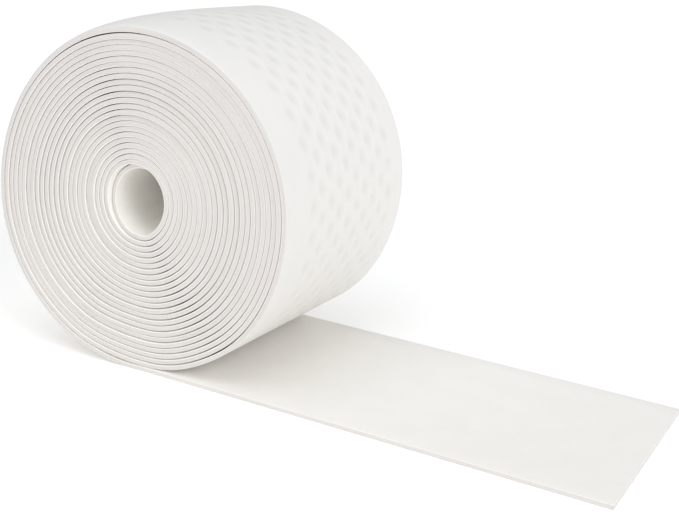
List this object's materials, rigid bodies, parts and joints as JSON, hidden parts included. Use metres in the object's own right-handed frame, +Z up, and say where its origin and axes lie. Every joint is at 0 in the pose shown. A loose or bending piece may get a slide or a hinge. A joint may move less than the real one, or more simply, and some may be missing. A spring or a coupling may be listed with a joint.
{
  "type": "grip tape roll",
  "caption": "Coreless roll of cushioned racket grip tape, wound in a flat spiral round an open bore, with its free end lying out flat as a tail.",
  "frame": {"origin": "on the surface that the roll stands on, right below the coil's axis and halfway across the coil", "axes": "+Z up, +X along the tail towards its free end, +Y along the coil's axis"},
  "size_m": [0.0723, 0.0296, 0.0359],
  "materials": {
    "grip_layer": "soft matt foam skin, embossed with shallow staggered dimples",
    "backing": "smooth thin felt, matt"
  },
  "bodies": {
    "coil": {"coil_grip_layer": "grip_layer", "coil_backing": "backing"},
    "tail_1": {"tail_1_grip_layer": "grip_layer", "tail_1_backing": "backing"},
    "tail_2": {"tail_2_grip_layer": "grip_layer", "tail_2_backing": "backing"},
    "tail_3": {"tail_3_grip_layer": "grip_layer", "tail_3_backing": "backing"},
    "tail_4": {"tail_4_grip_layer": "grip_layer", "tail_4_backing": "backing"},
    "tail_5": {"tail_5_grip_layer": "grip_layer", "tail_5_backing": "backing"}
  },
  "joints": [
    {"name": "tail_bend_1", "type": "hinge", "parent": "coil", "child": "tail_1", "pos_m": [0.00577, 0, 0.00053], "axis": [0, -1, 0], "range_deg": [0, 30]},
    {"name": "tail_bend_2", "type": "hinge", "parent": "tail_1", "child": "tail_2", "pos_m": [0.01531, 0, 0.00053], "axis": [0, -1, 0], "range_deg": [0, 30]},
    {"name": "tail_bend_3", "type": "hinge", "parent": "tail_2", "child": "tail_3", "pos_m": [0.02485, 0, 0.00053], "axis": [0, -1, 0], "range_deg": [0, 30]},
    {"name": "tail_bend_4", "type": "hinge", "parent": "tail_3", "child": "tail_4", "pos_m": [0.03439, 0, 0.00053], "axis": [0, -1, 0], "range_deg": [0, 30]},
    {"name": "tail_bend_5", "type": "hinge", "parent": "tail_4", "child": "tail_5", "pos_m": [0.04393, 0, 0.00053], "axis": [0, -1, 0], "range_deg": [0, 30]}
  ]
}
